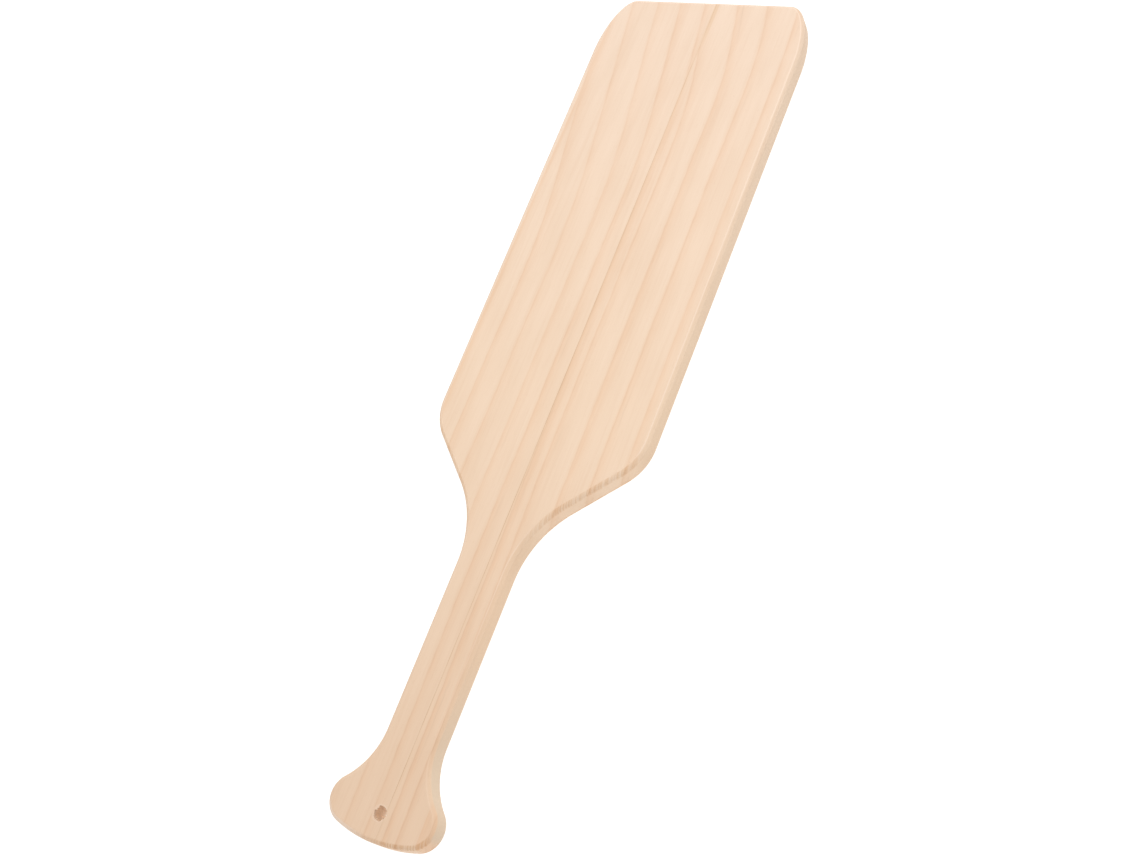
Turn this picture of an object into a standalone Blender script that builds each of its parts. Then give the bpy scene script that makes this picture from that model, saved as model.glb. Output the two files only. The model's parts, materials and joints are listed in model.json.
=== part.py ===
"""A flat wooden paddle: two boards glued edge to edge, sawn to one outline, rounded over, drilled to hang.

The paddle lies on its back face. X runs across it, Y from the butt to the tip of the blade, and
Z out of the front face. The origin is under the middle of the outline. Lengths are in metres.
"""

from math import acos, asin, cos, pi, radians, sin, sqrt

import bmesh
import bpy
from mathutils import Vector

# Overall sizes.
LENGTH = 0.508
THICKNESS = 0.0125
EDGE_ROUNDING = 0.0025

# Blade. Its sides spread slightly from the shoulders to the tip.
BLADE_WIDTH = 0.1284
BLADE_SIDE_LENGTH = 0.2785
TIP_SPREAD = 0.0015
TIP_CORNER_ACROSS = 0.0161
TIP_CORNER_ALONG = 0.0392
SHOULDER_RADIUS = 0.0302
SHOULDER_SLOPE = radians(44.5)

# Handle and butt.
NECK_RADIUS = 0.0609
HANDLE_WIDTH = 0.0307
FLARE_RADIUS = 0.0401
BUTT_WIDTH = 0.063
BUTT_CORNER_RADIUS = 0.0126
BUTT_END_RADIUS = 0.0765

# Hanging hole, on the centre line.
HOLE_DIAMETER = 0.0075
HOLE_FROM_BUTT = 0.014
HOLE_SIDES = 48

# Glue joint. It runs the whole length, beside the centre line, and the hole cuts through it.
JOINT_OFFSET = 0.0034
GLUE_THICKNESS = 0.0003
GLUE_GAP = 0.0003

# How finely the round stretches are divided.
ARC_STEP = radians(4.5)
ROUNDING_SEGMENTS = 4
SPARE = 0.01

BUTT_Y = -LENGTH / 2
TIP_Y = LENGTH / 2
HOLE_Y = BUTT_Y + HOLE_FROM_BUTT

COLLECTION_NAME = "wooden_paddle"
CUTTER_COLLECTION_NAME = "cutters"

WOOD_LEFT = (0.86, 0.69, 0.51, 1.0)
WOOD_RIGHT = (0.88, 0.71, 0.53, 1.0)
DRIED_GLUE = (0.56, 0.36, 0.18, 1.0)


def clear_scene():
    """Removes every object that the file opened with."""
    for existing in list(bpy.data.objects):
        bpy.data.objects.remove(existing, do_unlink=True)


def new_collection(name):
    """Adds a collection of that name to the scene."""
    collection = bpy.data.collections.new(name)
    bpy.context.scene.collection.children.link(collection)
    return collection


def new_material(name, colour, roughness):
    """A plain dielectric finish of one colour."""
    material = bpy.data.materials.new(name)
    material.use_nodes = True
    shader = material.node_tree.nodes["Principled BSDF"]
    shader.inputs["Base Color"].default_value = colour
    shader.inputs["Roughness"].default_value = roughness
    shader.inputs["Metallic"].default_value = 0.0
    return material


def arc(centre, radii, start, end):
    """Points along an arc, or a quarter of an ellipse where the two radii differ, from start to end."""
    steps = max(2, round(abs(end - start) / ARC_STEP))
    turns = [start + (end - start) * step / steps for step in range(steps + 1)]
    return [(centre[0] + radii[0] * cos(turn), centre[1] + radii[1] * sin(turn)) for turn in turns]


def tip_corner():
    """The rounded corner between the tip and the right side of the blade."""
    centre_x = BLADE_WIDTH / 2 + TIP_SPREAD - TIP_CORNER_ACROSS
    centre = (centre_x, TIP_Y - TIP_CORNER_ALONG)
    return arc(centre, (TIP_CORNER_ACROSS, TIP_CORNER_ALONG), pi / 2, 0)


def shoulder_and_neck():
    """The shoulder, the sloping stretch below it and the hollow neck that runs into the handle."""
    shoulder_y = TIP_Y - BLADE_SIDE_LENGTH
    shoulder_centre = (BLADE_WIDTH / 2 - SHOULDER_RADIUS, shoulder_y)
    drop_across = (BLADE_WIDTH - HANDLE_WIDTH) / 2
    arcs_across = (SHOULDER_RADIUS + NECK_RADIUS) * (1 - cos(SHOULDER_SLOPE))
    slope_length = (drop_across - arcs_across) / sin(SHOULDER_SLOPE)
    arcs_along = (SHOULDER_RADIUS + NECK_RADIUS) * sin(SHOULDER_SLOPE)
    neck_y = shoulder_y - arcs_along - slope_length * cos(SHOULDER_SLOPE)
    neck_centre = (HANDLE_WIDTH / 2 + NECK_RADIUS, neck_y)
    shoulder = arc(shoulder_centre, (SHOULDER_RADIUS, SHOULDER_RADIUS), 0, -SHOULDER_SLOPE)
    neck = arc(neck_centre, (NECK_RADIUS, NECK_RADIUS), pi - SHOULDER_SLOPE, pi)
    return shoulder + neck


def butt():
    """The hollow flare, the round corner of the butt, and the bowed end as far as the centre line."""
    corner_x = BUTT_WIDTH / 2 - BUTT_CORNER_RADIUS
    end_centre = (0.0, BUTT_Y + BUTT_END_RADIUS)
    end_to_corner = BUTT_END_RADIUS - BUTT_CORNER_RADIUS
    corner_centre = (corner_x, end_centre[1] - sqrt(end_to_corner**2 - corner_x**2))
    flare_x = HANDLE_WIDTH / 2 + FLARE_RADIUS
    flare_to_corner = FLARE_RADIUS + BUTT_CORNER_RADIUS
    flare_turn = acos((flare_x - corner_x) / flare_to_corner)
    flare_centre = (flare_x, corner_centre[1] + flare_to_corner * sin(flare_turn))
    end_turn = asin(corner_x / end_to_corner)
    flare = arc(flare_centre, (FLARE_RADIUS, FLARE_RADIUS), pi, pi + flare_turn)
    corner_radii = (BUTT_CORNER_RADIUS, BUTT_CORNER_RADIUS)
    corner = arc(corner_centre, corner_radii, flare_turn, end_turn - pi / 2)
    end = arc(end_centre, (BUTT_END_RADIUS, BUTT_END_RADIUS), end_turn - pi / 2, -pi / 2)
    return flare + corner[1:] + end[1:]


def outline():
    """The whole outline, clockwise from the left end of the tip."""
    right = tip_corner() + shoulder_and_neck() + butt()
    left = [(-x, y) for x, y in reversed(right[:-1])]
    return right + left


def mesh_from_outline(points):
    """The blank with square edges: the outline as a flat curve, raised to the full thickness."""
    curve = bpy.data.curves.new("blank_outline", "CURVE")
    curve.dimensions = "2D"
    curve.fill_mode = "BOTH"
    curve.extrude = THICKNESS / 2
    spline = curve.splines.new("POLY")
    spline.points.add(len(points) - 1)
    for point, (x, y) in zip(spline.points, points):
        point.co = (x, y, 0.0, 1.0)
    spline.use_cyclic_u = True
    flat = bpy.data.objects.new("blank_outline", curve)
    flat.location.z = THICKNESS / 2
    bpy.context.scene.collection.objects.link(flat)
    bpy.context.view_layer.update()
    evaluated = flat.evaluated_get(bpy.context.evaluated_depsgraph_get())
    mesh = bpy.data.meshes.new_from_object(evaluated)
    mesh.transform(flat.matrix_world)
    bpy.data.objects.remove(flat)
    return mesh


def join_faces(mesh):
    """Closes the blank and makes each of its two faces one polygon, so that its edges can be rounded."""
    work = bmesh.new()
    work.from_mesh(mesh)
    bmesh.ops.remove_doubles(work, verts=work.verts, dist=0.00001)
    inner = [edge for edge in work.edges if all(abs(face.normal.z) > 0.99 for face in edge.link_faces)]
    bmesh.ops.dissolve_edges(work, edges=inner, use_verts=False)
    bmesh.ops.recalc_face_normals(work, faces=work.faces)
    work.to_mesh(mesh)
    work.free()


def add_box(name, low, high, collection):
    """A cutter: the box between two corners."""
    size = Vector(high) - Vector(low)
    work = bmesh.new()
    bmesh.ops.create_cube(work, size=1.0)
    bmesh.ops.scale(work, vec=size, verts=work.verts)
    mesh = bpy.data.meshes.new(name)
    work.to_mesh(mesh)
    work.free()
    return add_cutter(name, mesh, (Vector(low) + Vector(high)) / 2, collection)


def add_drill(collection):
    """A cutter: the drill that makes the hanging hole."""
    radius = HOLE_DIAMETER / 2
    work = bmesh.new()
    bmesh.ops.create_cone(
        work,
        cap_ends=True,
        segments=HOLE_SIDES,
        radius1=radius,
        radius2=radius,
        depth=THICKNESS + 2 * SPARE,
    )
    mesh = bpy.data.meshes.new("drill")
    work.to_mesh(mesh)
    work.free()
    return add_cutter("drill", mesh, (0.0, HOLE_Y, THICKNESS / 2), collection)


def add_cutter(name, mesh, place, collection):
    """An object that only shapes others, drawn as wire and never rendered."""
    cutter = bpy.data.objects.new(name, mesh)
    cutter.location = place
    cutter.hide_render = True
    cutter.display_type = "WIRE"
    collection.objects.link(cutter)
    return cutter


def add_boolean(piece, cutter, operation):
    """Cuts a piece with a cutter, or keeps only what is inside the cutter."""
    cut = piece.modifiers.new(cutter.name, "BOOLEAN")
    cut.solver = "EXACT"
    cut.operation = operation
    cut.object = cutter


def add_piece(name, blank, stretch, drill, material, collection):
    """One piece of the paddle: the rounded blank, kept only inside its own stretch, and drilled."""
    piece = bpy.data.objects.new(name, blank.copy())
    piece.data.materials.append(material)
    piece.data.shade_smooth()
    piece.data.set_sharp_from_angle(angle=radians(35))
    collection.objects.link(piece)
    rounding = piece.modifiers.new("rounded_edges", "BEVEL")
    rounding.width = EDGE_ROUNDING
    rounding.segments = ROUNDING_SEGMENTS
    rounding.limit_method = "ANGLE"
    rounding.angle_limit = radians(60)
    add_boolean(piece, stretch, "INTERSECT")
    add_boolean(piece, drill, "DIFFERENCE")
    return piece


def stretch_between(name, left, right, bottom, top, collection):
    """The box that one piece is kept inside: its sides in X, its ends in Y, and past both faces."""
    return add_box(name, (left, bottom, -SPARE), (right, top, THICKNESS + SPARE), collection)


def build():
    """Makes the four pieces of the paddle."""
    clear_scene()
    parts = new_collection(COLLECTION_NAME)
    cutters = new_collection(CUTTER_COLLECTION_NAME)
    blank = mesh_from_outline(outline())
    join_faces(blank)
    drill = add_drill(cutters)

    film_left = JOINT_OFFSET - GLUE_THICKNESS / 2
    film_right = JOINT_OFFSET + GLUE_THICKNESS / 2
    side = max(BLADE_WIDTH / 2 + TIP_SPREAD, BUTT_WIDTH / 2) + SPARE
    bottom = BUTT_Y - SPARE
    top = TIP_Y + SPARE
    left_half = stretch_between("left_half", -side, film_left - GLUE_GAP, bottom, top, cutters)
    right_half = stretch_between("right_half", film_right + GLUE_GAP, side, bottom, top, cutters)
    above_hole = stretch_between(
        "above_hole", film_left, film_right, HOLE_Y + GLUE_GAP / 2, top, cutters
    )
    below_hole = stretch_between(
        "below_hole", film_left, film_right, bottom, HOLE_Y - GLUE_GAP / 2, cutters
    )

    left_wood = new_material("left_wood", WOOD_LEFT, 0.62)
    right_wood = new_material("right_wood", WOOD_RIGHT, 0.62)
    glue = new_material("dried_glue", DRIED_GLUE, 0.5)
    add_piece("left_board", blank, left_half, drill, left_wood, parts)
    add_piece("right_board", blank, right_half, drill, right_wood, parts)
    add_piece("glue_film_long", blank, above_hole, drill, glue, parts)
    add_piece("glue_film_butt", blank, below_hole, drill, glue, parts)
    bpy.data.meshes.remove(blank)


build()
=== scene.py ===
"""A flat wooden paddle: two boards of bare pale wood glued edge to edge, rounded over and drilled to hang.

Run as a script, it adds the pieces and their studio around the fixed frame. Lengths are in metres. The
wood's pattern is worked out in millimetres: across from the centre line, along from the butt's end, and
deep from the front face.
"""

import json
from math import acos, asin, cos, pi, radians, sin, sqrt

import bmesh
import bpy
from bpy.props import FloatProperty, FloatVectorProperty, PointerProperty
from bpy.types import Operator, Panel, PropertyGroup
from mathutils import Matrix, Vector


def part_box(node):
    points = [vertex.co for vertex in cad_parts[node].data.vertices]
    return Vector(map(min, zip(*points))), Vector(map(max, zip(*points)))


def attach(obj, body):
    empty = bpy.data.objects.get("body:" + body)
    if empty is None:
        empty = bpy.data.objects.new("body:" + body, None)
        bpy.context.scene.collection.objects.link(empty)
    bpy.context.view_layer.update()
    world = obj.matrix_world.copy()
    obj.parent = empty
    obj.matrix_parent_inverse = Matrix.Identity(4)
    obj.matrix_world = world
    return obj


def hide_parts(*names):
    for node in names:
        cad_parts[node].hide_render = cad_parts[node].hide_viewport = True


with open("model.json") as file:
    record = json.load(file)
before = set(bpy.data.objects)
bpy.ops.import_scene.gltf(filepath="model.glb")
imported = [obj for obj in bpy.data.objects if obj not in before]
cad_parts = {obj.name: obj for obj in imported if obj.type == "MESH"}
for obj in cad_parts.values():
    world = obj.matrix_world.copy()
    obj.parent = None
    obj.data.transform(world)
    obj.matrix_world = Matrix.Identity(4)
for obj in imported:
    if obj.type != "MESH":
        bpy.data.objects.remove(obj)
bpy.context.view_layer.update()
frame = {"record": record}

bl_info = {
    "name": "Flat Wooden Paddle",
    "version": (1, 0, 0),
    "blender": (4, 5, 0),
    "location": "View3D > Sidebar > Paddle",
    "description": "Adds a flat paddle of two glued boards, and a plain studio for it",
    "category": "Add Mesh",
}

BODY = "root"
MM = 0.001

# The boards lie on their back faces, which are at height 0, with the butt towards -Y.
LEFT_LOW, LEFT_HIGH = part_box("left_board")
RIGHT_LOW, RIGHT_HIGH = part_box("right_board")
BUTT_Y = LEFT_LOW.y
TIP_Y = LEFT_HIGH.y
FRONT_Z = LEFT_HIGH.z
JOINT_X = (LEFT_HIGH.x + RIGHT_LOW.x) / 2
TIP_WIDTH = RIGHT_HIGH.x - LEFT_LOW.x
HOLE_LOW, HOLE_HIGH = frame["record"]["physics"]["openings"][0]["box_m"]
HOLE_PLACE = ((HOLE_LOW[0] + HOLE_HIGH[0]) / 2, (HOLE_LOW[1] + HOLE_HIGH[1]) / 2)


# ---------------------------------------------------------------- sizes and colours


def length_property(name, description, default):
    """A length that a user can change."""
    return FloatProperty(
        name=name,
        description=description,
        default=default,
        min=0.0,
        precision=5,
        subtype="DISTANCE",
        unit="LENGTH",
    )


def colour_property(name, description, default):
    """A colour that a user can change."""
    return FloatVectorProperty(
        name=name,
        description=description,
        default=default,
        size=3,
        min=0.0,
        max=1.0,
        subtype="COLOR",
    )


def strength_property(name, description, default):
    """The strength of a light that a user can change."""
    return FloatProperty(name=name, description=description, default=default, min=0.0)


class PaddleSizes(PropertyGroup):
    """Sizes of the paddle, seen from the front with the blade up."""

    tip_width: length_property("Tip Width", "Width of the blade below its tip's corners", TIP_WIDTH)
    blade_width: length_property("Blade Width", "Width of the blade at its shoulders", 0.1284)
    blade_side: length_property("Blade Side", "Length from the tip to the shoulders", 0.2785)
    tip_across: length_property("Tip Corner Across", "Width of each rounded corner of the tip", 0.0161)
    tip_along: length_property("Tip Corner Along", "Length of each rounded corner of the tip", 0.0392)
    shoulder: length_property("Shoulder Radius", "Radius of each shoulder", 0.0302)
    slope: FloatProperty(
        name="Shoulder Slope",
        description="Turn from the side of the blade to the slope below its shoulder",
        default=radians(44.5),
        subtype="ANGLE",
        unit="ROTATION",
    )
    neck: length_property("Neck Radius", "Radius of the hollow between the slope and the handle", 0.0609)
    handle_width: length_property("Handle Width", "Width of the handle", 0.0307)
    flare: length_property("Flare Radius", "Radius of the hollow between the handle and the butt", 0.0401)
    butt_width: length_property("Butt Width", "Width of the butt", 0.063)
    butt_corner: length_property("Butt Corner", "Radius of each corner of the butt", 0.0126)
    butt_end: length_property("Butt End", "Radius of the bowed end of the butt", 0.0765)
    rounding: length_property("Edge Rounding", "Radius of the rounded rims", 0.0025)
    hole: length_property("Hole Diameter", "Diameter of the hanging hole", 0.0072)
    film: length_property("Glue Film", "Thickness of the dried glue between the boards", 0.00022)
    film_gap: length_property("Film Clearance", "Clearance between the glue film and each board", 0.000005)


class PaddleColours(PropertyGroup):
    """Colours of the paddle. A stain is what is left of the bare wood's colour where it is strongest."""

    tip_wood: colour_property("Tip Wood", "Bare wood at the tip of the blade", (0.868, 0.680, 0.533))
    shoulder_wood: colour_property("Shoulder Wood", "Bare wood at the shoulders", (0.918, 0.706, 0.528))
    butt_wood: colour_property("Butt Wood", "Bare wood at the butt", (0.884, 0.650, 0.468))
    ring_line: colour_property("Ring Line", "Stain of a growth ring's sharp edge", (0.900, 0.885, 0.875))
    ring_band: colour_property("Ring Band", "Stain of the late wood past that edge", (0.978, 0.906, 0.846))
    pore: colour_property("Pores", "Stain of the pores", (0.820, 0.720, 0.620))
    # The sawn-side stain is the grey of the sawn sides, and painted shade where it reaches the rounded
    # rims.
    sawn_side_and_shade: colour_property("Sawn Side", "Stain of the flat sides", (0.895, 0.875, 0.830))
    burnt_end: colour_property("Burnt Ends", "Stain of the rounded end grain", (0.850, 0.715, 0.555))
    glue_stain: colour_property("Glue Stain", "Stain of glue beside the joint", (0.880, 0.770, 0.600))
    bore: colour_property("Bore", "Torn fibres on the wall of the hanging hole", (0.915, 0.725, 0.555))
    glue: colour_property("Dried Glue", "Glue film between the boards", (0.640, 0.410, 0.240))


class PaddleStudio(PropertyGroup):
    """The camera, the light and the floor."""

    camera_place: FloatVectorProperty(
        name="Camera Place",
        description="Where the camera stands",
        default=(0.35743, -0.24253, 0.60010),
        subtype="XYZ",
        unit="LENGTH",
    )
    camera_turn: FloatVectorProperty(
        name="Camera Turn",
        description="How the camera is turned",
        default=(radians(27.5377), radians(21.4636), radians(22.4636)),
        subtype="EULER",
        unit="ROTATION",
    )
    lens: FloatProperty(name="Lens", description="Focal length in millimetres", default=43.09, min=1.0)
    floor_size: length_property("Floor Size", "Length of each side of the floor", 12.0)
    floor: colour_property("Floor Colour", "Colour of the floor", (0.25, 0.25, 0.25))
    floor_glow: strength_property("Floor Glow", "Strength of the white light from below the floor", 0.95)
    sky: strength_property("Sky", "Strength of the even white light from all round", 0.70)
    key: strength_property("Key Light", "Power of the large light over the tip, in watts", 5.2)


# ---------------------------------------------------------------- selecting


def deselect_everything():
    """Leaves edit mode with no object selected, so that an operator acts only on the piece that follows."""
    if bpy.context.object and bpy.context.object.mode != "OBJECT":
        bpy.ops.object.mode_set(mode="OBJECT")
    bpy.ops.object.select_all(action="DESELECT")


def make_active(piece):
    """Selects one object alone."""
    deselect_everything()
    piece.select_set(True)
    bpy.context.view_layer.objects.active = piece


def select_corners(belongs):
    """In edit mode, selects the vertices whose place passes the test, and all that joins them."""
    mesh = bpy.context.object.data
    work = bmesh.from_edit_mesh(mesh)
    for vertex in work.verts:
        vertex.select = belongs(vertex.co)
    work.select_flush_mode()
    bmesh.update_edit_mesh(mesh)


def select_edges(belongs):
    """In edit mode, selects the edges whose two ends pass the test."""
    bpy.ops.mesh.select_mode(type="EDGE")
    mesh = bpy.context.object.data
    work = bmesh.from_edit_mesh(mesh)
    for edge in work.edges:
        edge.select = belongs(edge.verts[0].co, edge.verts[1].co)
    work.select_flush_mode()
    bmesh.update_edit_mesh(mesh)


def apply_modifier(piece, kind, name, **settings):
    """Adds a modifier to the piece and applies it."""
    make_active(piece)
    modifier = piece.modifiers.new(name, kind)
    for setting, value in settings.items():
        setattr(modifier, setting, value)
    bpy.ops.object.modifier_apply(modifier=modifier.name)


# ---------------------------------------------------------------- sawing the blank

ARC_STEP = radians(1.5)
ROUNDING_STEPS = 10
SAME_PLACE = 0.002 * MM
MIDDLE_MERGE = 5 * SAME_PLACE


class Pencil:
    """Draws an outline in edit mode from a start point. The end of the line stays selected."""

    def __init__(self, x, y):
        deselect_everything()
        bpy.ops.mesh.primitive_plane_add(size=MM, location=(0, 0, 0))
        bpy.ops.object.mode_set(mode="EDIT")
        bpy.ops.mesh.select_mode(type="VERT")
        bpy.ops.mesh.select_all(action="SELECT")
        bpy.ops.mesh.merge(type="CENTER")
        bpy.ops.transform.translate(value=(x, y, 0))
        self.point = Vector((x, y))

    def line(self, x, y):
        """Draws a straight line to a point."""
        step = Vector((x, y)) - self.point
        bpy.ops.mesh.extrude_vertices_move(TRANSFORM_OT_translate={"value": (step.x, step.y, 0)})
        self.point = Vector((x, y))

    def arc(self, centre_x, centre_y, turn):
        """Draws an arc round a centre, anticlockwise where the turn is above 0."""
        steps = max(4, round(abs(turn) / ARC_STEP))
        bpy.ops.mesh.spin(steps=steps, angle=-turn, center=(centre_x, centre_y, 0), axis=(0, 0, 1))
        centre = Vector((centre_x, centre_y))
        reach = self.point - centre
        turned_x = reach.x * cos(turn) - reach.y * sin(turn)
        turned_y = reach.x * sin(turn) + reach.y * cos(turn)
        self.point = centre + Vector((turned_x, turned_y))


def draw_tip(pencil, sizes):
    """Draws half of the tip: a straight end and a long rounded corner."""
    half = sizes.tip_width / 2
    corner_x = half - sizes.tip_across
    pencil.line(corner_x, TIP_Y)
    pencil.arc(corner_x, TIP_Y - sizes.tip_across, -pi / 2)
    select_corners(lambda place: place.x > corner_x - SAME_PLACE)
    stretch = sizes.tip_along / sizes.tip_across
    bpy.ops.transform.resize(value=(1, stretch, 1), center_override=(corner_x, TIP_Y, 0))
    corner_y = TIP_Y - sizes.tip_along
    select_corners(lambda place: place.y < corner_y + SAME_PLACE)
    pencil.point = Vector((half, corner_y))


def draw_shoulder(pencil, sizes):
    """Draws the side of the blade, its shoulder, and the slope down into the handle."""
    blade_half = sizes.blade_width / 2
    handle_half = sizes.handle_width / 2
    shoulder_y = TIP_Y - sizes.blade_side
    pencil.line(blade_half, shoulder_y)
    pencil.arc(blade_half - sizes.shoulder, shoulder_y, -sizes.slope)
    arcs_across = (sizes.shoulder + sizes.neck) * (1 - cos(sizes.slope))
    slope_length = (blade_half - handle_half - arcs_across) / sin(sizes.slope)
    slope_x = pencil.point.x - slope_length * sin(sizes.slope)
    slope_y = pencil.point.y - slope_length * cos(sizes.slope)
    pencil.line(slope_x, slope_y)
    pencil.arc(handle_half + sizes.neck, slope_y - sizes.neck * sin(sizes.slope), sizes.slope)


def draw_butt(pencil, sizes):
    """Draws the side of the handle, its flare, the corner of the butt and half of the bowed end."""
    corner_x = sizes.butt_width / 2 - sizes.butt_corner
    end_y = BUTT_Y + sizes.butt_end
    end_to_corner = sizes.butt_end - sizes.butt_corner
    end_turn = asin(corner_x / end_to_corner)
    corner_y = end_y - sqrt(end_to_corner**2 - corner_x**2)
    flare_x = sizes.handle_width / 2 + sizes.flare
    flare_to_corner = sizes.flare + sizes.butt_corner
    flare_turn = acos((flare_x - corner_x) / flare_to_corner)
    flare_y = corner_y + flare_to_corner * sin(flare_turn)
    pencil.line(sizes.handle_width / 2, flare_y)
    pencil.arc(flare_x, flare_y, flare_turn)
    pencil.arc(corner_x, corner_y, end_turn - flare_turn - pi / 2)
    pencil.arc(0, end_y, -end_turn)


def saw_blank(sizes):
    """Saws a blank to the outline of the whole paddle and rounds over both of its rims."""
    pencil = Pencil(0, TIP_Y)
    draw_tip(pencil, sizes)
    draw_shoulder(pencil, sizes)
    draw_butt(pencil, sizes)
    blank = bpy.context.object
    apply_modifier(blank, "MIRROR", "left_half", merge_threshold=MIDDLE_MERGE)
    bpy.ops.object.mode_set(mode="EDIT")
    bpy.ops.mesh.select_all(action="SELECT")
    bpy.ops.mesh.remove_doubles(threshold=SAME_PLACE)
    bpy.ops.mesh.select_all(action="SELECT")
    bpy.ops.mesh.edge_face_add()
    bpy.ops.mesh.extrude_region_move(TRANSFORM_OT_translate={"value": (0, 0, FRONT_Z)})
    bpy.ops.mesh.select_all(action="SELECT")
    bpy.ops.mesh.normals_make_consistent(inside=False)
    select_edges(lambda start, end: abs(start.z - end.z) < SAME_PLACE)
    bpy.ops.mesh.bevel(offset=sizes.rounding, offset_type="OFFSET", segments=ROUNDING_STEPS, affect="EDGES")
    bpy.ops.object.mode_set(mode="OBJECT")
    return blank


def copy_piece(piece, name):
    """Copies a piece, with its own mesh, under a new name."""
    make_active(piece)
    bpy.ops.object.duplicate(linked=False)
    copied = bpy.context.object
    copied.name = name
    copied.data.name = name
    return copied


def saw_through(piece, place, direction):
    """Saws the piece flat at a place and throws away the part that the direction points to."""
    make_active(piece)
    bpy.ops.object.mode_set(mode="EDIT")
    bpy.ops.mesh.select_all(action="SELECT")
    bpy.ops.mesh.bisect(
        plane_co=place,
        plane_no=direction,
        use_fill=True,
        clear_outer=True,
        threshold=SAME_PLACE,
    )
    bpy.ops.object.mode_set(mode="OBJECT")


# ---------------------------------------------------------------- drilling the hanging hole

DRILL_SIDES = 96
DRILL_CUTS = 40
DRILL_OVERSHOOT = 4 * MM
RIM_DEPTH = 0.5 * MM
CHATTER = 0.10 * MM
CHATTER_SIZE = 1.1 * MM

# Where the rim is torn: the turn from +X in degrees, how far the hole reaches further out there, and the
# width of wood that goes with it. A reach below 0 is a splinter that still hangs into the hole.
RIM_TEARS = (
    (15, 0.45 * MM, 3.2 * MM),
    (-68, 0.40 * MM, 1.4 * MM),
    (-168, -0.45 * MM, 3.0 * MM),
    (152, -1.30 * MM, 0.9 * MM),
    (128, -0.95 * MM, 0.9 * MM),
)


def make_drill(sizes):
    """The space that the drill cuts: a rough bore with a torn rim at the front face."""
    deselect_everything()
    bpy.ops.mesh.primitive_cylinder_add(
        vertices=DRILL_SIDES,
        radius=sizes.hole / 2,
        depth=FRONT_Z + 2 * DRILL_OVERSHOOT,
        location=(*HOLE_PLACE, FRONT_Z / 2),
    )
    drill = bpy.context.object
    drill.name = "drill"
    bpy.ops.object.transform_apply(location=True)
    bpy.ops.object.mode_set(mode="EDIT")
    select_edges(lambda start, end: abs(start.z - end.z) > FRONT_Z)
    bpy.ops.mesh.subdivide(number_cuts=DRILL_CUTS)
    bpy.ops.mesh.select_mode(type="VERT")
    for turn, reach, width in RIM_TEARS:
        tear_rim(sizes, radians(turn), reach, width)
    bpy.ops.object.mode_set(mode="OBJECT")
    chatter = bpy.data.textures.new("drill_chatter", "CLOUDS")
    chatter.noise_scale = CHATTER_SIZE
    chatter.noise_depth = 1
    apply_modifier(drill, "DISPLACE", "chatter", texture=chatter, texture_coords="LOCAL", strength=CHATTER)
    bpy.data.textures.remove(chatter)
    return drill


def tear_rim(sizes, turn, reach, width):
    """Pulls the drill's side out or in at one place round the rim, fading with distance."""
    outward = Vector((cos(turn), sin(turn), 0))
    rim = Vector((*HOLE_PLACE, 0)) + outward * sizes.hole / 2
    side_gap = pi * sizes.hole / DRILL_SIDES

    def at_rim(place):
        return place.z > FRONT_Z - RIM_DEPTH and (Vector((place.x, place.y, 0)) - rim).length < side_gap

    select_corners(at_rim)
    bpy.ops.transform.translate(
        value=outward * reach,
        use_proportional_edit=True,
        proportional_edit_falloff="SMOOTH",
        proportional_size=width,
    )


def drill_hole(piece, drill):
    """Cuts the hanging hole out of a piece."""
    apply_modifier(piece, "BOOLEAN", "hanging_hole", operation="DIFFERENCE", solver="EXACT", object=drill)


def discard(*pieces):
    """Removes objects that were only tools."""
    for piece in pieces:
        bpy.data.objects.remove(piece)


# ---------------------------------------------------------------- mixing finishes


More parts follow.
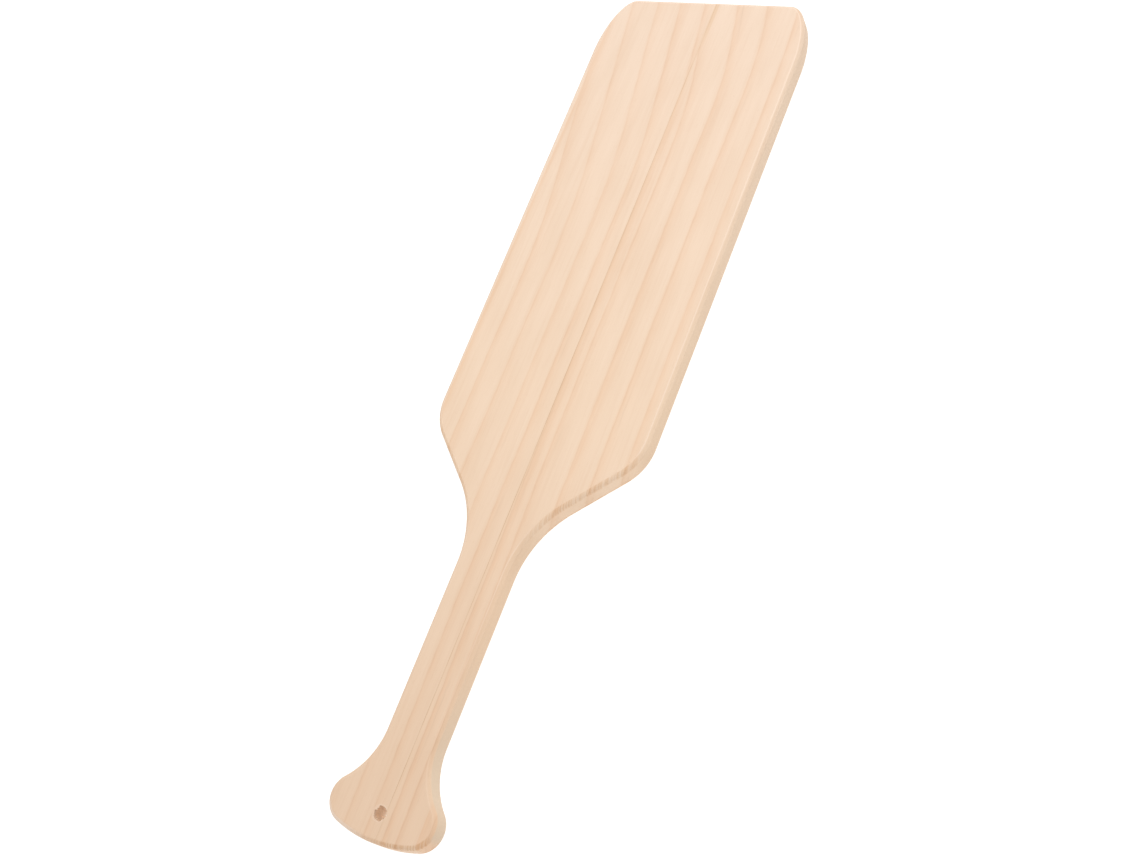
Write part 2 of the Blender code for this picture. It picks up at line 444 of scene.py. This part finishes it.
class Wire:
    """One output of a node. Python's arithmetic on wires and numbers adds Math nodes to their tree."""

    def __init__(self, tree, socket):
        self.tree = tree
        self.socket = socket

    @staticmethod
    def node(tree, kind, settings=None, sockets=None, output=0):
        """Adds a node, sets it up, then gives its sockets their values or links, and returns one output."""
        added = tree.nodes.new("ShaderNode" + kind)
        for setting, value in (settings or {}).items():
            if setting == "stops":
                ramp = added.color_ramp.elements
                for position, _ in value[2:]:
                    ramp.new(position)
                for stop, (position, colour) in zip(ramp, value):
                    stop.position = position
                    stop.color = (*colour, 1)
            elif setting == "ramp":
                added.color_ramp.interpolation = value
            else:
                setattr(added, setting, value)
        for name, value in (sockets or {}).items():
            if isinstance(value, Wire):
                tree.links.new(value.socket, added.inputs[name])
            elif hasattr(value, "__len__") and len(value) == 3 and added.inputs[name].type == "RGBA":
                added.inputs[name].default_value = (*value, 1)
            else:
                added.inputs[name].default_value = value
        return Wire(tree, added.outputs[output] if added.outputs else None)

    def maths(self, operation, *others):
        """A Math node on this wire and others."""
        values = dict(enumerate((self, *others)))
        return Wire.node(self.tree, "Math", {"operation": operation}, values)

    def __add__(self, other):
        return self.maths("ADD", other)

    def __radd__(self, other):
        return self.maths("ADD", other)

    def __sub__(self, other):
        return self.maths("SUBTRACT", other)

    def __rsub__(self, other):
        return Wire.node(self.tree, "Math", {"operation": "SUBTRACT"}, {0: other, 1: self})

    def __mul__(self, other):
        return self.maths("MULTIPLY", other)

    def __rmul__(self, other):
        return self.maths("MULTIPLY", other)

    def __truediv__(self, other):
        return self.maths("DIVIDE", other)

    def __rtruediv__(self, other):
        return Wire.node(self.tree, "Math", {"operation": "DIVIDE"}, {0: other, 1: self})

    def __abs__(self):
        return self.maths("ABSOLUTE")

    def fading(self, distance):
        """1 where this wire is 0, and less by a factor of e with each distance above that."""
        return (self * (-1 / distance)).maths("EXPONENT")

    def rising(self, low, high):
        """0 up to the low value, 1 from the high value, and a smooth rise between them."""
        return Wire.node(
            self.tree,
            "MapRange",
            {"interpolation_type": "SMOOTHSTEP"},
            {"Value": self, "From Min": low, "From Max": high},
        )

    def above(self, limit, ease):
        """How far this wire is above a limit, with an eased start."""
        return (self - limit).maths("SMOOTH_MAX", 0.0, ease)

    def stained(self, stain, strength):
        """This colour multiplied by a stain, as strongly as said."""
        settings = {"data_type": "RGBA", "blend_type": "MULTIPLY"}
        return Wire.node(self.tree, "Mix", settings, {0: strength, 6: self, 7: stain}, output=2)

    def towards(self, colour, share):
        """This colour mixed with another one."""
        return Wire.node(self.tree, "Mix", {"data_type": "RGBA"}, {0: share, 6: self, 7: colour}, output=2)


def start_finish(name):
    """An empty material, and its tree of nodes."""
    finish = bpy.data.materials.new(name)
    finish.use_nodes = True
    finish.node_tree.nodes.clear()
    return finish, finish.node_tree


def add_shader(tree, sockets):
    """Adds the shader with its sockets' values or links, and the output."""
    shader = Wire.node(tree, "BsdfPrincipled", {}, sockets)
    Wire.node(tree, "OutputMaterial", {}, {"Surface": shader})


class Stock:
    """Where a point of the surface lies in the wood, in millimetres, and which way the surface faces."""

    def __init__(self, tree):
        place = Wire.node(tree, "TexCoord", output="Object")
        normal = Wire.node(tree, "TexCoord", output="Normal")
        self.tree = tree
        self.across, along, height = self.parts(place, 1 / MM)
        self.along = along - BUTT_Y / MM
        self.deep = FRONT_Z / MM - height
        self.facing_across, self.facing_along, self.facing_up = self.parts(normal, 1)

    def parts(self, vector, scale):
        """The three parts of a vector, each times a number."""
        sockets = {"Vector": vector, "Scale": scale}
        scaled = Wire.node(self.tree, "VectorMath", {"operation": "SCALE"}, sockets)
        return tuple(Wire.node(self.tree, "SeparateXYZ", {}, {0: scaled}, output=part) for part in range(3))

    def noise(self, width, length, detail=1.0, shift=0.0, depth=None):
        """Noise from 0 to 1 whose patches have this width, length and depth in the grain."""
        deep = self.deep / (depth or width)
        sockets = {"X": self.across / width + shift, "Y": self.along / length, "Z": deep}
        vector = Wire.node(self.tree, "CombineXYZ", {}, sockets)
        return Wire.node(self.tree, "TexNoise", {}, {"Vector": vector, "Scale": 1.0, "Detail": detail})


# ---------------------------------------------------------------- wood and glue

# In all of these, a plain pair of numbers is where a smooth rise starts and where it ends.

# Patches of noise: their width and length in the grain, in millimetres. They are as deep as they are wide
# where no depth is given. The shift sets one pattern apart from the others.
RING_SWAY = {"width": 40, "length": 70}
RING_FRAY = {"width": 1.2, "length": 7, "detail": 2}
RING_PATCHES = {"width": 5, "length": 16, "detail": 3, "shift": 5.5}
FALSE_RINGS = {"width": 12, "length": 50, "shift": 21.5}
STREAK_FRAY = {"width": 1.2, "length": 7, "detail": 2, "shift": 71.5}
STREAK_PATCHES = {"width": 9, "length": 30, "shift": 73.5}
CLOUDS = {"width": 14, "length": 60, "detail": 2, "shift": 3.5}
FIBRES = {"width": 0.45, "length": 26, "detail": 3}
SILK = {"width": 2.2, "length": 90, "detail": 2, "shift": 11.5}
PORES = {"width": 0.28, "length": 4.5, "detail": 1, "shift": 31.5}
HATCHING = {"width": 0.75, "length": 60, "detail": 1, "shift": 41.5, "depth": 12}
SOAKED_GLUE = {"width": 60, "length": 38, "detail": 2, "shift": 51.5}
GLUE_DUST_CLOUDS = {"width": 60, "length": 30, "detail": 2, "shift": 61.5}
GLUE_GRIT = {"width": 0.3, "length": 2.5, "detail": 2}

# Growth rings, in millimetres: a sharp line, and a band of late wood that fades past it.
RING_WANDER = 1.5
RING_RAGGEDNESS = 1.1
LINE_WIDTH = 0.45
LINE_EASE = 0.25
LINE_CHANGE = 0.8
LEAST_LINE = 0.04
FALSE_LINE_AT = 2.7
FALSE_LINE_WIDTH = 0.4
FALSE_LINE_EDGE = (0.5, 0.75)
FALSE_LINE_STRENGTH = 0.6
BAND_WIDTH = 3.6
BAND_EASE = 0.7
BAND_CHANGE = 1.2
LEAST_BAND = 0.4
SPACING_UNIT = 20.0
DRIFT_EASE = 60
DRIFT_RUN = 200

# Towards the butt the rings have a darker line and a narrower, weaker band.
HANDLE_STRETCH = (60, 200)
HANDLE_LINE = 0.4
HANDLE_NARROWING = 0.4
HANDLE_BAND_LOSS = 0.15

# Brown streaks, in millimetres: how their edge rises, and how far they fade at each end.
STREAK_EDGE = (-0.5, 0.3)
STREAK_EASE = 0.5
STREAK_FADE = 12
STREAK_CHANGE = 0.8
LEAST_STREAK = 0.6

# Stains and colours beside those that a user can change, and how strong they are.
GRAIN_STAIN = (0.93, 0.90, 0.86)
GRAIN_EDGE = (0.3, 0.8)
CLOUD_STRENGTH = 0.45
FIBRE_STRENGTH = 0.35
SILK_STAIN = (0.95, 0.91, 0.88)
SILK_EDGE = (0.4, 0.8)
SILK_STRENGTH = 0.45
PORE_EDGE = (0.66, 0.78)
PORE_STRENGTH = 0.30
HOLE_SHADE = (0.58, 0.46, 0.32)
BUTT_SIDE_WOOD = (0.68, 0.56, 0.42)
# A pale colour for painted highlights: on the arrises, round the hole's rim and at the left of the butt's
# end.
PAINTED_HIGHLIGHT = (0.95, 0.77, 0.63)
GLUE_DUST = (0.76, 0.54, 0.37)

# Where the bare wood has each of its three colours, as shares of the length from the butt.
WOOD_CHANGES = (0.02, 0.47, 0.95)

# Where each part of a rim starts and ends. The surface faces up by 0 on a flat side and by 1 on a face.
SIDE_ENDS = (0.1, 0.6)
ROUNDED_STARTS = (0.05, 0.50)
ROUNDED_ENDS = (0.86, 0.99)
# The arris is where a painted highlight runs along the start of each rounded rim.
ARRIS_STARTS = (0.92, 0.97)
ARRIS_ENDS = (0.985, 0.9995)
STRIP_ENDS = (0.95, 0.999)
STRIP_DEPTH = (2.3, 3.5)
END_GRAIN_TURN = (0.2, 0.6)
NO_DIVIDE_BY_ZERO = 0.0001

# How the rims are stained, shaded, lit and burnt, with places up from the butt and across in millimetres.
# The sawn-side stain is painted shade on the rounded rims and partly on the flat sides. It is weaker on end
# grain, which is burnt instead.
END_SIDE_STAIN_LOSS = 0.6
ROUNDED_PAINTED_SHADE = 0.5
HATCHING_EDGE = (0.36, 0.62)
HATCHING_BURN = 0.52
RING_BURN = 0.15
BUTT_STRETCH = (0, 70)
BUTT_LEFT = (-20, 8)
BUTT_BURN_GAIN = 0.40
# At the left of the butt's end the burn fades, and a pale colour is laid on the rounded end grain as
# painted light against its shade.
BUTT_LEFT_BURN_LOSS = 1.3
BUTT_LEFT_PAINTED_LIGHT = 0.65
BUTT_SIDE_STRETCH = (30, 110)
BUTT_SIDE_STRENGTH = 0.6
# The painted arris highlight grows stronger towards the tip, nearer the light.
ARRIS_STRETCH = (20, 230)
ARRIS_GAIN = 0.4
LEAST_ARRIS = 0.1

# The hanging hole, with distances out from its drilled wall and down from the front face.
BORE_REACH = (0.8, 1.2)
BORE_STRENGTH = 0.9
# Round the hole's rim lies a painted highlight. Under the rim near the front face lies a painted shadow,
# the crescent.
HALO_REACH = (0.4, 1.1)
HALO_STRENGTH = 0.2
CRESCENT_DEPTH = (0.8, 2.2)
CRESCENT_TURN = (-0.2, 0.6)

# Glue in the wood, with distances across from the joint and down from the tip.
SOAKED_EASE = 0.2
SOAKED_RIGHT = 0.8
SOAKED_LEFT = 0.3
SOAKED_STRENGTH = 0.6
TIP_GLUE_STARTS = (-1.2, -0.2)
TIP_GLUE_ENDS = (1.4, 2.6)
TIP_GLUE_FRAY = 12
TIP_GLUE_REACH = (40, 6)
TIP_GLUE_STRENGTH = 0.45
GLUE_DUST_EDGE = (0.4, 0.65)

# Heights and depths of the grain in millimetres, and how rough the surfaces are.
FIBRE_HEIGHT = 0.020
PORE_DEPTH = 0.015
LINE_DEPTH = 0.012
BURNT_HEIGHT = 0.03
GLUE_GRIT_HEIGHT = 0.02
WOOD_ROUGHNESS = 0.66
BAND_POLISH = 0.06
ROUNDED_POLISH = 0.08
GLUE_ROUGHNESS = 0.38


class Rings:
    """How the growth rings run through one board, in millimetres and measured on the front face.

    A ring is named by where it would cross the board if it ran straight. From the line that starts
    bend_from up the centre line and climbs bend_slope with each step across, the rings bend inwards. Below
    drift_below they drift slowly outwards to the butt. They lean with depth.
    """

    def __init__(self, bend, bend_from, bend_slope, bend_ease, drift, drift_below, lean, places, strengths):
        self.bend = bend
        self.bend_from = bend_from
        self.bend_slope = bend_slope
        self.bend_ease = bend_ease
        self.drift = drift
        self.drift_below = drift_below
        self.lean = lean
        self.places = places
        self.strengths = strengths


LEFT_RINGS = Rings(
    bend=0.11,
    bend_from=412,
    bend_slope=1.46,
    bend_ease=57,
    drift=3.25,
    drift_below=141,
    lean=-0.3,
    places=(-93, -78, -62.8, -48.2, -33.4, -18.9, -6.2, 7.2, 21, 36),
    strengths=(1.0, 1.0, 0.4, 1.0, 0.8, 0.85, 1.1, 1.0, 1.0, 1.0),
)
RIGHT_RINGS = Rings(
    bend=0.152,
    bend_from=420,
    bend_slope=1.38,
    bend_ease=44,
    drift=2.6,
    drift_below=261,
    lean=-0.4,
    places=(-26, -12, 3.56, 11.3, 26.6, 41.6, 56.8, 72, 87, 102),
    strengths=(1.0, 1.0, 1.6, 0.95, 1.25, 1.0, 1.0, 1.0, 1.0, 1.0),
)


def ring_place(stock, rings):
    """Where each point would lie across the board if its growth ring ran straight."""
    sway = (stock.noise(**RING_SWAY) - 0.5) * RING_WANDER
    fray = (stock.noise(**RING_FRAY) - 0.5) * RING_RAGGEDNESS
    across = stock.across + (sway + fray) - stock.deep * rings.lean
    past_bend = stock.along - rings.bend_from - across * rings.bend_slope
    bent = past_bend.above(0, rings.bend_ease) * rings.bend
    drifted = (rings.drift_below - stock.along).above(0, DRIFT_EASE) * (rings.drift / DRIFT_RUN)
    return across + bent - drifted


def ring_gap(stock, rings):
    """How far each point is past one ring and short of the next, and how strongly the first one shows."""
    tree = stock.tree
    low, high = rings.places[0], rings.places[-1]
    last = len(rings.places) - 1
    stops = [((ring - low) / (high - low), (count / last,) * 3) for count, ring in enumerate(rings.places)]
    share = (ring_place(stock, rings) - low) / (high - low)
    number = Wire.node(tree, "ValToRGB", {"stops": stops}, {0: share}) * last
    ring = number.maths("FLOOR")

    # The strength and the spacing of each ring lie side by side in one ramp, as its red and its green.
    gaps = [after - before for before, after in zip(rings.places, rings.places[1:])]
    facts = [
        (count / last, (rings.strengths[count], gap / SPACING_UNIT, 0))
        for count, gap in enumerate(gaps)
    ]
    settings = {"stops": facts, "ramp": "CONSTANT"}
    fact = Wire.node(tree, "ValToRGB", settings, {0: (ring + 0.5) / last})
    strength = Wire.node(tree, "SeparateColor", {}, {0: fact}, output="Red")
    gap = Wire.node(tree, "SeparateColor", {}, {0: fact}, output="Green") * SPACING_UNIT
    past = (number - ring) * gap
    return past, gap - past, strength


def ring_pattern(stock, rings):
    """How strongly the line and the band of a growth ring show at each place."""
    past, ahead, strength = ring_gap(stock, rings)
    change = stock.noise(**RING_PATCHES)
    handle = 1 - stock.along.rising(*HANDLE_STRETCH)
    edge = past.fading(LINE_WIDTH).maths("MAXIMUM", ahead.fading(LINE_EASE))
    false_ring = stock.noise(**FALSE_RINGS).rising(*FALSE_LINE_EDGE)
    false_line = abs(past - FALSE_LINE_AT).fading(FALSE_LINE_WIDTH) * false_ring
    line = (edge * (change * LINE_CHANGE + LEAST_LINE) + false_line * FALSE_LINE_STRENGTH) * strength
    narrowed = past * (handle * HANDLE_NARROWING + 1)
    spread = narrowed.fading(BAND_WIDTH).maths("MAXIMUM", ahead.fading(BAND_EASE))
    band = spread * (change * BAND_CHANGE + LEAST_BAND) * strength
    return line * (handle * HANDLE_LINE + 1), band * (1 - handle * HANDLE_BAND_LOSS)


class Streak:
    """A brown streak that runs straight up one board, sharp on its left side, in millimetres."""

    def __init__(self, place, width, low, high, strength):
        self.place = place
        self.width = width
        self.low = low
        self.high = high
        self.strength = strength


LEFT_STREAKS = (Streak(place=-61.7, width=1.7, low=205, high=500, strength=1.3),)
RIGHT_STREAKS = (
    Streak(place=27.5, width=1.5, low=280, high=298, strength=0.8),
    Streak(place=25.2, width=6.5, low=-20, high=32, strength=0.95),
)


def streak_pattern(stock, streak):
    """How strongly a brown streak shows at each place."""
    ragged = (stock.noise(**STREAK_FRAY) - 0.5) * RING_RAGGEDNESS
    past = stock.across + ragged - streak.place
    profile = past.rising(*STREAK_EDGE) * past.above(0, STREAK_EASE).fading(streak.width)
    fade = min(STREAK_FADE, (streak.high - streak.low) / 3)
    stretch = stock.along.rising(streak.low, streak.low + fade)
    stretch = stretch * (1 - stock.along.rising(streak.high - fade, streak.high))
    change = stock.noise(**STREAK_PATCHES) * STREAK_CHANGE + LEAST_STREAK
    return profile * stretch * change * streak.strength


class Rims:
    """Which part of the board's surface each point lies on, as shares from 0 to 1."""

    def __init__(self, stock):
        flat_up = abs(stock.facing_up)
        outline = stock.facing_across * stock.facing_across + stock.facing_along * stock.facing_along
        butt_ward = stock.facing_along * -1 / (outline + NO_DIVIDE_BY_ZERO).maths("SQRT")
        inset = stock.deep.maths("MINIMUM", FRONT_Z / MM - stock.deep)
        self.end_grain = butt_ward.rising(*END_GRAIN_TURN)
        self.side = 1 - flat_up.rising(*SIDE_ENDS)
        self.rounded = flat_up.rising(*ROUNDED_STARTS) * (1 - flat_up.rising(*ROUNDED_ENDS))
        self.strip = (1 - inset.rising(*STRIP_DEPTH)) * (1 - flat_up.rising(*STRIP_ENDS)) * self.end_grain
        arris_highlight = flat_up.rising(*ARRIS_STARTS) * (1 - flat_up.rising(*ARRIS_ENDS))
        self.arris_highlight = arris_highlight * (1 - self.end_grain)
        self.butt = 1 - stock.along.rising(*BUTT_STRETCH)
        self.left = 1 - stock.across.rising(*BUTT_LEFT)


def bare_wood(stock, colours):
    """The plain wood's colour, which changes slowly from the butt to the tip."""
    woods = (colours.butt_wood, colours.shoulder_wood, colours.tip_wood)
    stops = [(place, tuple(wood)) for place, wood in zip(WOOD_CHANGES, woods)]
    share = stock.along / ((TIP_Y - BUTT_Y) / MM)
    return Wire.node(stock.tree, "ValToRGB", {"stops": stops}, {0: share})


def grained(colour, stock, colours, fibres, pores):
    """The colour with clouds, fibres, silky figure and pores."""
    clouds = stock.noise(**CLOUDS)
    silk = stock.noise(**SILK)
    colour = colour.stained(GRAIN_STAIN, clouds.rising(*GRAIN_EDGE) * CLOUD_STRENGTH)
    colour = colour.stained(GRAIN_STAIN, fibres.rising(*GRAIN_EDGE) * FIBRE_STRENGTH)
    colour = colour.stained(SILK_STAIN, silk.rising(*SILK_EDGE) * SILK_STRENGTH)
    return colour.stained(tuple(colours.pore), pores * PORE_STRENGTH)


def burn_pattern(stock, rims, band):
    """How strongly the router burnt the rounded end grain: in fine hatching, and more on the rings."""
    hatching = stock.noise(**HATCHING).rising(*HATCHING_EDGE)
    burn = rims.strip * (hatching * HATCHING_BURN + band * RING_BURN)
    # The burn is stronger towards the butt's end and weaker at its left, where painted light makes the end
    # grain paler.
    return burn * (1 + rims.butt * (BUTT_BURN_GAIN - rims.left * BUTT_LEFT_BURN_LOSS))


def stained_and_shaded_rims(colour, stock, colours, rims, scorch):
    """The colour with sides greyed partly as painted shade, painted shade on the rounded rims, painted
    highlights on the arrises and at the left of the butt's end, darker sides near the butt, and burnt end
    grain.
    """
    # Painted shade: the sawn-side stain greys the flat sides and darkens the rounded rims, where they turn
    # from the light.
    grey_side_and_shade = rims.side * (1 - rims.end_grain * END_SIDE_STAIN_LOSS)
    painted_rim_shade = rims.rounded * (1 - rims.end_grain) * ROUNDED_PAINTED_SHADE
    colour = colour.stained(tuple(colours.sawn_side_and_shade), grey_side_and_shade.maths("MAXIMUM", painted_rim_shade))
    # Painted highlight: a pale line along each arris, stronger towards the tip.
    arris_highlight = rims.arris_highlight * (stock.along.rising(*ARRIS_STRETCH) * ARRIS_GAIN + LEAST_ARRIS)
    colour = colour.towards(PAINTED_HIGHLIGHT, arris_highlight)
    butt_side = rims.side * (1 - rims.end_grain) * (1 - stock.along.rising(*BUTT_SIDE_STRETCH))
    colour = colour.towards(BUTT_SIDE_WOOD, butt_side * BUTT_SIDE_STRENGTH)
    # Painted light: the rounded end grain at the left of the butt's end is made paler against its shade.
    colour = colour.towards(PAINTED_HIGHLIGHT, rims.strip * rims.butt * rims.left * BUTT_LEFT_PAINTED_LIGHT)
    return colour.stained(tuple(colours.burnt_end), scorch)


def bored(colour, stock, colours, sizes, rims):
    """The colour with the hole's torn wall, a painted shadow under its rim near the front face, and a
    painted highlight round it.
    """
    from_hole_x = stock.across - HOLE_PLACE[0] / MM
    from_hole_y = stock.along - (HOLE_PLACE[1] - BUTT_Y) / MM
    from_hole = (from_hole_x * from_hole_x + from_hole_y * from_hole_y).maths("SQRT")
    past_wall = from_hole - sizes.hole / 2 / MM
    wall = rims.side * (1 - past_wall.rising(*BORE_REACH))
    # Painted highlight: a pale ring on the face round the hole's rim.
    painted_halo = (1 - rims.side) * (1 - past_wall.rising(*HALO_REACH))
    # Painted shadow: the wall under the rim near the front face, on the side facing the butt, is darkened.
    crescent_shadow = wall * (1 - stock.deep.rising(*CRESCENT_DEPTH))
    crescent_shadow = crescent_shadow * (stock.facing_along * -1).rising(*CRESCENT_TURN)
    colour = colour.towards(PAINTED_HIGHLIGHT, painted_halo * HALO_STRENGTH)
    colour = colour.towards(tuple(colours.bore), wall * BORE_STRENGTH)
    return colour.stained(HOLE_SHADE, crescent_shadow)


def glue_soaked(colour, stock, colours, fibres):
    """The colour with glue that soaked in beside the joint, most of all at the tip."""
    length = (TIP_Y - BUTT_Y) / MM
    from_joint = stock.across - JOINT_X / MM
    right = from_joint.above(0, SOAKED_EASE).fading(SOAKED_RIGHT)
    left = (from_joint * -1).above(0, SOAKED_EASE).fading(SOAKED_LEFT)
    soaked = right * left * (stock.noise(**SOAKED_GLUE) * SOAKED_STRENGTH)
    tip_glue = from_joint.rising(*TIP_GLUE_STARTS) * (1 - from_joint.rising(*TIP_GLUE_ENDS))
    low, high = (length - reach for reach in TIP_GLUE_REACH)
    tip_glue = tip_glue * (stock.along + fibres * TIP_GLUE_FRAY).rising(low, high)
    strength = soaked.maths("MAXIMUM", tip_glue * TIP_GLUE_STRENGTH)
    return colour.stained(tuple(colours.glue_stain), strength)


def wood_finish(name, colours, sizes, rings, streaks):
    """Bare sanded pale wood: growth rings, fibres and pores, with end grain that the router burnt."""
    finish, tree = start_finish(name)
    stock = Stock(tree)
    rims = Rims(stock)
    fibres = stock.noise(**FIBRES)
    pores = stock.noise(**PORES).rising(*PORE_EDGE)
    line, band = ring_pattern(stock, rings)
    for streak in streaks:
        band = band + streak_pattern(stock, streak)
    scorch = burn_pattern(stock, rims, band)

    colour = bare_wood(stock, colours)
    colour = grained(colour, stock, colours, fibres, pores)
    colour = colour.stained(tuple(colours.ring_band), band)
    colour = colour.stained(tuple(colours.ring_line), line)
    colour = stained_and_shaded_rims(colour, stock, colours, rims, scorch)
    colour = bored(colour, stock, colours, sizes, rims)
    colour = glue_soaked(colour, stock, colours, fibres)

    height = fibres * FIBRE_HEIGHT - pores * PORE_DEPTH - line * LINE_DEPTH + scorch * BURNT_HEIGHT
    bump = Wire.node(tree, "Bump", {}, {"Height": height, "Distance": MM, "Strength": 1.0})
    roughness = WOOD_ROUGHNESS - band * BAND_POLISH - rims.rounded * ROUNDED_POLISH
    add_shader(tree, {"Base Color": colour, "Roughness": roughness, "Normal": bump})
    return finish


def glue_finish(colours):
    """Dried wood glue, brown where the joint was starved and paler where it is full of wood dust."""
    finish, tree = start_finish("dried_glue")
    stock = Stock(tree)
    dust = stock.noise(**GLUE_DUST_CLOUDS).rising(*GLUE_DUST_EDGE)
    mixed = {0: dust, 6: tuple(colours.glue), 7: GLUE_DUST}
    colour = Wire.node(tree, "Mix", {"data_type": "RGBA"}, mixed, output=2)
    height = stock.noise(**GLUE_GRIT) * GLUE_GRIT_HEIGHT
    bump = Wire.node(tree, "Bump", {}, {"Height": height, "Distance": MM, "Strength": 1.0})
    add_shader(tree, {"Base Color": colour, "Roughness": GLUE_ROUGHNESS, "Normal": bump})
    return finish


# ---------------------------------------------------------------- finishing pieces

SMOOTH_BELOW = radians(35)
FLAT_FACE_WEIGHT = 100


def finish_piece(piece, finish, node):
    """Shades a piece, gives it its finish, and puts it in the place of its node on the frame."""
    make_active(piece)
    bpy.ops.object.shade_smooth_by_angle(angle=SMOOTH_BELOW)
    apply_modifier(piece, "WEIGHTED_NORMAL", "flat_faces", keep_sharp=True, weight=FLAT_FACE_WEIGHT)
    piece.data.materials.clear()
    piece.data.materials.append(finish)
    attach(piece, BODY)
    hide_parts(node)


class PADDLE_OT_add_boards(Operator):
    """Add the two boards, sawn from one outline, rounded over and drilled"""

    bl_idname = "paddle.add_boards"
    bl_label = "Add Boards"
    bl_options = {"REGISTER", "UNDO"}

    def execute(self, context):
        sizes = context.scene.paddle_sizes
        colours = context.scene.paddle_colours
        joint_half = sizes.film / 2 + sizes.film_gap
        blank = saw_blank(sizes)
        drill = make_drill(sizes)
        left = copy_piece(blank, "left_board_wood")
        saw_through(left, (JOINT_X - joint_half, 0, 0), (1, 0, 0))
        right = copy_piece(blank, "right_board_wood")
        saw_through(right, (JOINT_X + joint_half, 0, 0), (-1, 0, 0))
        drill_hole(left, drill)
        drill_hole(right, drill)
        discard(blank, drill)
        left_wood = wood_finish("left_wood", colours, sizes, LEFT_RINGS, LEFT_STREAKS)
        right_wood = wood_finish("right_wood", colours, sizes, RIGHT_RINGS, RIGHT_STREAKS)
        finish_piece(left, left_wood, "left_board")
        finish_piece(right, right_wood, "right_board")
        return {"FINISHED"}


class PADDLE_OT_add_glue(Operator):
    """Add the film of dried glue between the boards, on each side of the hanging hole"""

    bl_idname = "paddle.add_glue"
    bl_label = "Add Glue"
    bl_options = {"REGISTER", "UNDO"}

    def execute(self, context):
        sizes = context.scene.paddle_sizes
        film = saw_blank(sizes)
        saw_through(film, (JOINT_X + sizes.film / 2, 0, 0), (1, 0, 0))
        saw_through(film, (JOINT_X - sizes.film / 2, 0, 0), (-1, 0, 0))
        drill = make_drill(sizes)
        drill_hole(film, drill)
        long_film = copy_piece(film, "glue_line_long")
        saw_through(long_film, (*HOLE_PLACE, 0), (0, -1, 0))
        butt_film = copy_piece(film, "glue_line_butt")
        saw_through(butt_film, (*HOLE_PLACE, 0), (0, 1, 0))
        discard(film, drill)
        finish = glue_finish(context.scene.paddle_colours)
        finish_piece(long_film, finish, "glue_film_long")
        finish_piece(butt_film, finish, "glue_film_butt")
        return {"FINISHED"}


# ---------------------------------------------------------------- studio

FLOOR_GAP = 0.2 * MM
FLOOR_ROUGHNESS = 0.9
KEY_PLACE = (0.10, 0.60, 1.00)
KEY_AIM = (0, 0.10, 0)
KEY_SIZE = 0.5
NEAREST_SEEN = 0.01
WHITE = (1, 1, 1, 1)


def floor_finish(studio):
    """A plain white floor."""
    finish, tree = start_finish("studio_floor")
    sockets = {
        "Base Color": (*studio.floor, 1),
        "Roughness": FLOOR_ROUGHNESS,
        "Specular IOR Level": 0.0,
        "Emission Color": WHITE,
        "Emission Strength": studio.floor_glow,
    }
    add_shader(tree, sockets)
    return finish


def add_light(name, place, aim, size, power):
    """Adds a square soft light that points at a place."""
    deselect_everything()
    bpy.ops.object.light_add(type="AREA", location=place)
    light = bpy.context.object
    light.name = name
    light.rotation_euler = (Vector(aim) - Vector(place)).to_track_quat("-Z", "Y").to_euler()
    light.data.size = size
    light.data.energy = power


class PADDLE_OT_add_studio(Operator):
    """Add a plain floor, soft light and the camera"""

    bl_idname = "paddle.add_studio"
    bl_label = "Add Studio"
    bl_options = {"REGISTER", "UNDO"}

    def execute(self, context):
        studio = context.scene.paddle_studio
        deselect_everything()
        bpy.ops.mesh.primitive_plane_add(size=studio.floor_size, location=(0, 0, -FLOOR_GAP))
        floor = context.object
        floor.name = "studio_floor"
        floor.data.materials.append(floor_finish(studio))
        add_light("key_light", KEY_PLACE, KEY_AIM, KEY_SIZE, studio.key)

        world = bpy.data.worlds.new("soft_white_sky")
        world.use_nodes = True
        world.node_tree.nodes.clear()
        sky = Wire.node(world.node_tree, "Background", {}, {"Color": WHITE, "Strength": studio.sky})
        Wire.node(world.node_tree, "OutputWorld", {}, {"Surface": sky})
        context.scene.world = world
        context.scene.view_settings.view_transform = "Standard"

        bpy.ops.object.camera_add(location=studio.camera_place, rotation=studio.camera_turn)
        camera = context.object
        camera.name = "camera"
        camera.data.lens = studio.lens
        camera.data.clip_start = NEAREST_SEEN
        context.scene.camera = camera
        return {"FINISHED"}


class PADDLE_PT_panel(Panel):
    """Lists the paddle's sizes, colours and pieces"""

    bl_idname = "PADDLE_PT_panel"
    bl_label = "Flat Wooden Paddle"
    bl_space_type = "VIEW_3D"
    bl_region_type = "UI"
    bl_category = "Paddle"

    def draw(self, context):
        scene = context.scene
        for group in (scene.paddle_sizes, scene.paddle_colours, scene.paddle_studio):
            box = self.layout.box()
            for name in group.__annotations__:
                box.prop(group, name)
        for operator in OPERATORS:
            self.layout.operator(operator.bl_idname)


OPERATORS = (PADDLE_OT_add_boards, PADDLE_OT_add_glue, PADDLE_OT_add_studio)
CLASSES = (PaddleSizes, PaddleColours, PaddleStudio, *OPERATORS, PADDLE_PT_panel)


def register():
    """Adds the classes, and the scene's sizes, colours and studio."""
    for added in CLASSES:
        bpy.utils.register_class(added)
    bpy.types.Scene.paddle_sizes = PointerProperty(type=PaddleSizes)
    bpy.types.Scene.paddle_colours = PointerProperty(type=PaddleColours)
    bpy.types.Scene.paddle_studio = PointerProperty(type=PaddleStudio)


def unregister():
    """Takes away what register added."""
    del bpy.types.Scene.paddle_studio
    del bpy.types.Scene.paddle_colours
    del bpy.types.Scene.paddle_sizes
    for added in reversed(CLASSES):
        bpy.utils.unregister_class(added)


def main():
    """Adds every piece and the studio."""
    register()
    bpy.ops.paddle.add_boards()
    bpy.ops.paddle.add_glue()
    bpy.ops.paddle.add_studio()


if __name__ == "__main__":
    main()
